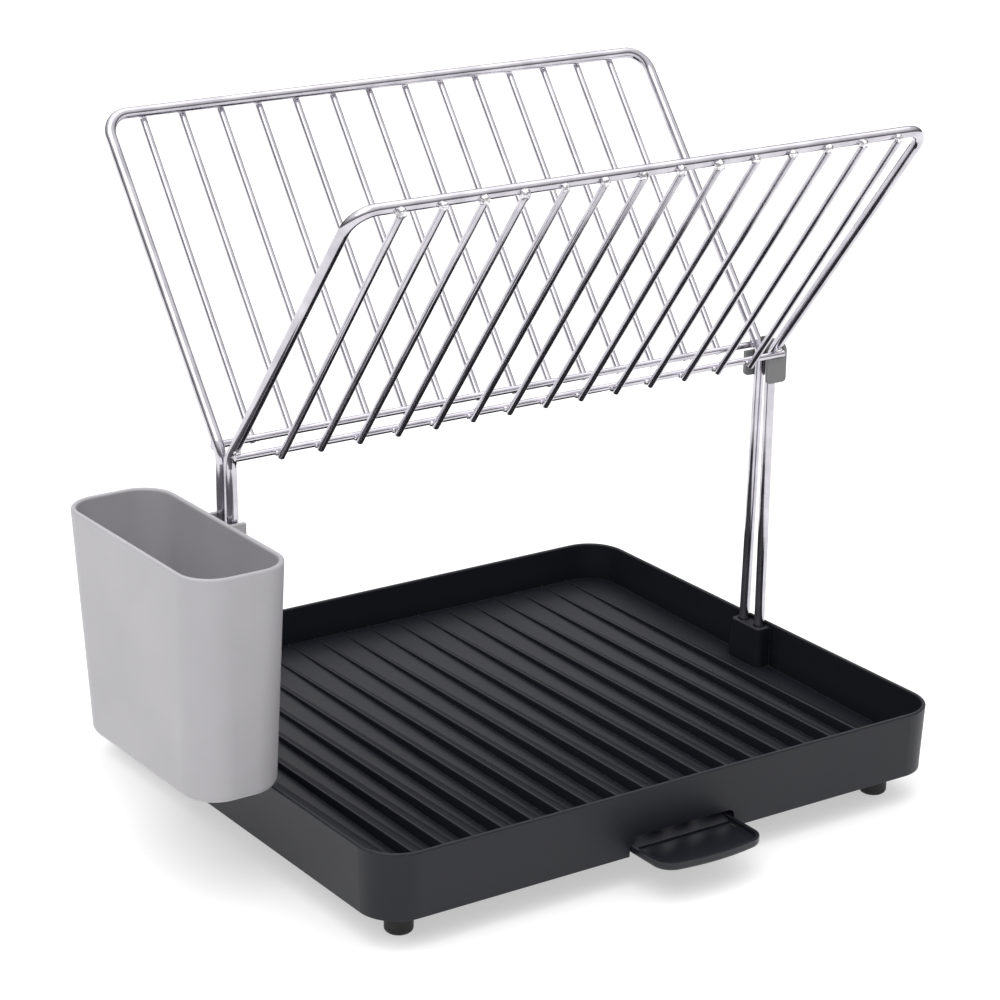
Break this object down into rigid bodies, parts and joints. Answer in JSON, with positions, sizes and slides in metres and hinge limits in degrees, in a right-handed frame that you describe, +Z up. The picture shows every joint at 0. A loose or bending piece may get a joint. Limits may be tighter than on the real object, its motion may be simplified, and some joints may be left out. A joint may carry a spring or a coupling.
{
  "type": "dish drying rack",
  "caption": "Dish drying rack: ribbed drain tray with a pull-out spout, two slanted wire wings standing in it as a V, and a clip-on cutlery caddy.",
  "frame": {"origin": "on the surface the rack stands on, under the middle of its overall plan size", "axes": "+X along the tray's long side away from the caddy, +Y towards the back, away from the spout, +Z up"},
  "size_m": [0.4186, 0.3474, 0.369],
  "materials": {
    "tray_plastic": "charcoal plastic with a fine matt grain",
    "spout_plastic": "charcoal plastic, smoother than the tray",
    "foot_rubber": "black rubber",
    "polished_steel": "polished stainless wire",
    "clip_plastic": "mid grey plastic",
    "caddy_plastic": "light grey satin plastic"
  },
  "bodies": {
    "tray": {"drain_tray": "tray_plastic", "foot_front_left": "foot_rubber", "foot_front_right": "foot_rubber", "foot_back_left": "foot_rubber", "foot_back_right": "foot_rubber"},
    "spout": {"spout": "spout_plastic"},
    "wing_front": {"wing_frame_front": "polished_steel", "wing_rail_front": "polished_steel", "wing_rod_front_01": "polished_steel", "wing_rod_front_02": "polished_steel", "wing_rod_front_03": "polished_steel", "wing_rod_front_04": "polished_steel", "wing_rod_front_05": "polished_steel", "wing_rod_front_06": "polished_steel", "wing_rod_front_07": "polished_steel", "wing_rod_front_08": "polished_steel", "wing_rod_front_09": "polished_steel", "wing_rod_front_10": "polished_steel", "wing_rod_front_11": "polished_steel", "wing_rod_front_12": "polished_steel", "wing_rod_front_13": "polished_steel", "wing_rod_front_14": "polished_steel"},
    "wing_back": {"wing_frame_back": "polished_steel", "wing_rail_back": "polished_steel", "wing_rod_back_01": "polished_steel", "wing_rod_back_02": "polished_steel", "wing_rod_back_03": "polished_steel", "wing_rod_back_04": "polished_steel", "wing_rod_back_05": "polished_steel", "wing_rod_back_06": "polished_steel", "wing_rod_back_07": "polished_steel", "wing_rod_back_08": "polished_steel", "wing_rod_back_09": "polished_steel", "wing_rod_back_10": "polished_steel", "wing_rod_back_11": "polished_steel", "wing_rod_back_12": "polished_steel", "wing_rod_back_13": "polished_steel", "wing_rod_back_14": "polished_steel"},
    "leg_clip": {"leg_clip": "clip_plastic"},
    "cutlery_caddy": {"cutlery_caddy": "caddy_plastic"}
  },
  "joints": [
    {"name": "spout_slide", "type": "slide", "parent": "tray", "child": "spout", "axis": [0, 1, 0], "range_m": [0, 0.018]},
    {"name": "wing_front_lift", "type": "slide", "parent": "tray", "child": "wing_front", "axis": [0, 0, 1], "range_m": [0, 0.04]},
    {"name": "wing_back_lift", "type": "slide", "parent": "tray", "child": "wing_back", "axis": [0, 0, 1], "range_m": [0, 0.04]},
    {"name": "leg_clip_pull", "type": "slide", "parent": "tray", "child": "leg_clip", "axis": [1, 0, 0], "range_m": [0, 0.02]},
    {"name": "caddy_pull", "type": "slide", "parent": "tray", "child": "cutlery_caddy", "axis": [-1, 0, 0], "range_m": [0, 0.03]}
  ]
}
